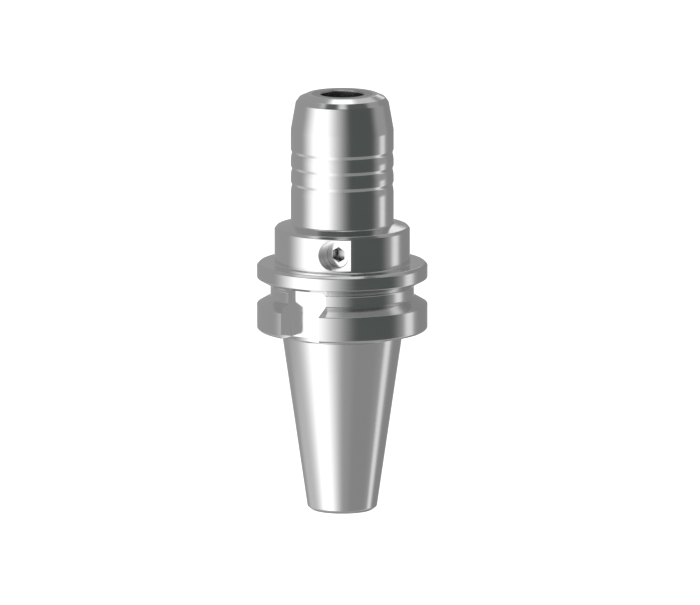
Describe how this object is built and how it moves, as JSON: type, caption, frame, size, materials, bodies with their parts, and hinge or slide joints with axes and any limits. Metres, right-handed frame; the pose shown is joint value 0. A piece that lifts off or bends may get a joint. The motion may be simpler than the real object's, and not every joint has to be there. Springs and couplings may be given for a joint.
{
  "type": "hydraulic expansion tool holder",
  "caption": "Taper-shank hydraulic expansion holder: a side screw pressurises oil round a thin sleeve that grips a straight tool shank.",
  "frame": {"origin": "on the spindle axis at the gauge line, where the taper measures 44.45 mm across", "axes": "+Z along the spindle axis towards the nose and the tool, -Y the side of the clamping screw and of one drive slot, +X towards the clamping screw's offset"},
  "size_m": [0.063, 0.063, 0.1554],
  "materials": {
    "ground_steel": "hardened steel, finely ground and polished",
    "bore_steel": "honed hardened steel",
    "screw_steel": "bright turned hardened steel",
    "ball_steel": "polished bearing steel",
    "seal_rubber": "black nitrile rubber"
  },
  "bodies": {
    "holder": {"holder_body": "ground_steel", "expansion_sleeve": "bore_steel", "bleed_screw": "screw_steel", "bleed_ball": "ball_steel"},
    "pressure_unit": {"pressure_piston": "screw_steel", "piston_seal": "seal_rubber"},
    "clamping_screw": {"clamping_screw": "screw_steel"},
    "stop_screw": {"stop_screw": "screw_steel"}
  },
  "joints": [
    {"name": "piston_feed", "type": "slide", "parent": "holder", "child": "pressure_unit", "axis": [0, 1, 0], "range_m": [0, 0.005]},
    {"name": "screw_turn", "type": "hinge", "parent": "pressure_unit", "child": "clamping_screw", "pos_m": [0.0102, -0.0165, 0.0336], "axis": [0, 1, 0], "range_deg": [0, 1800]},
    {"name": "stop_feed", "type": "slide", "parent": "holder", "child": "stop_screw", "axis": [0, 0, 1], "range_m": [0, 0.01]}
  ],
  "couplings": [
    {"joint": "screw_turn", "follows": "piston_feed", "rad_per_m": 6283.2}
  ]
}
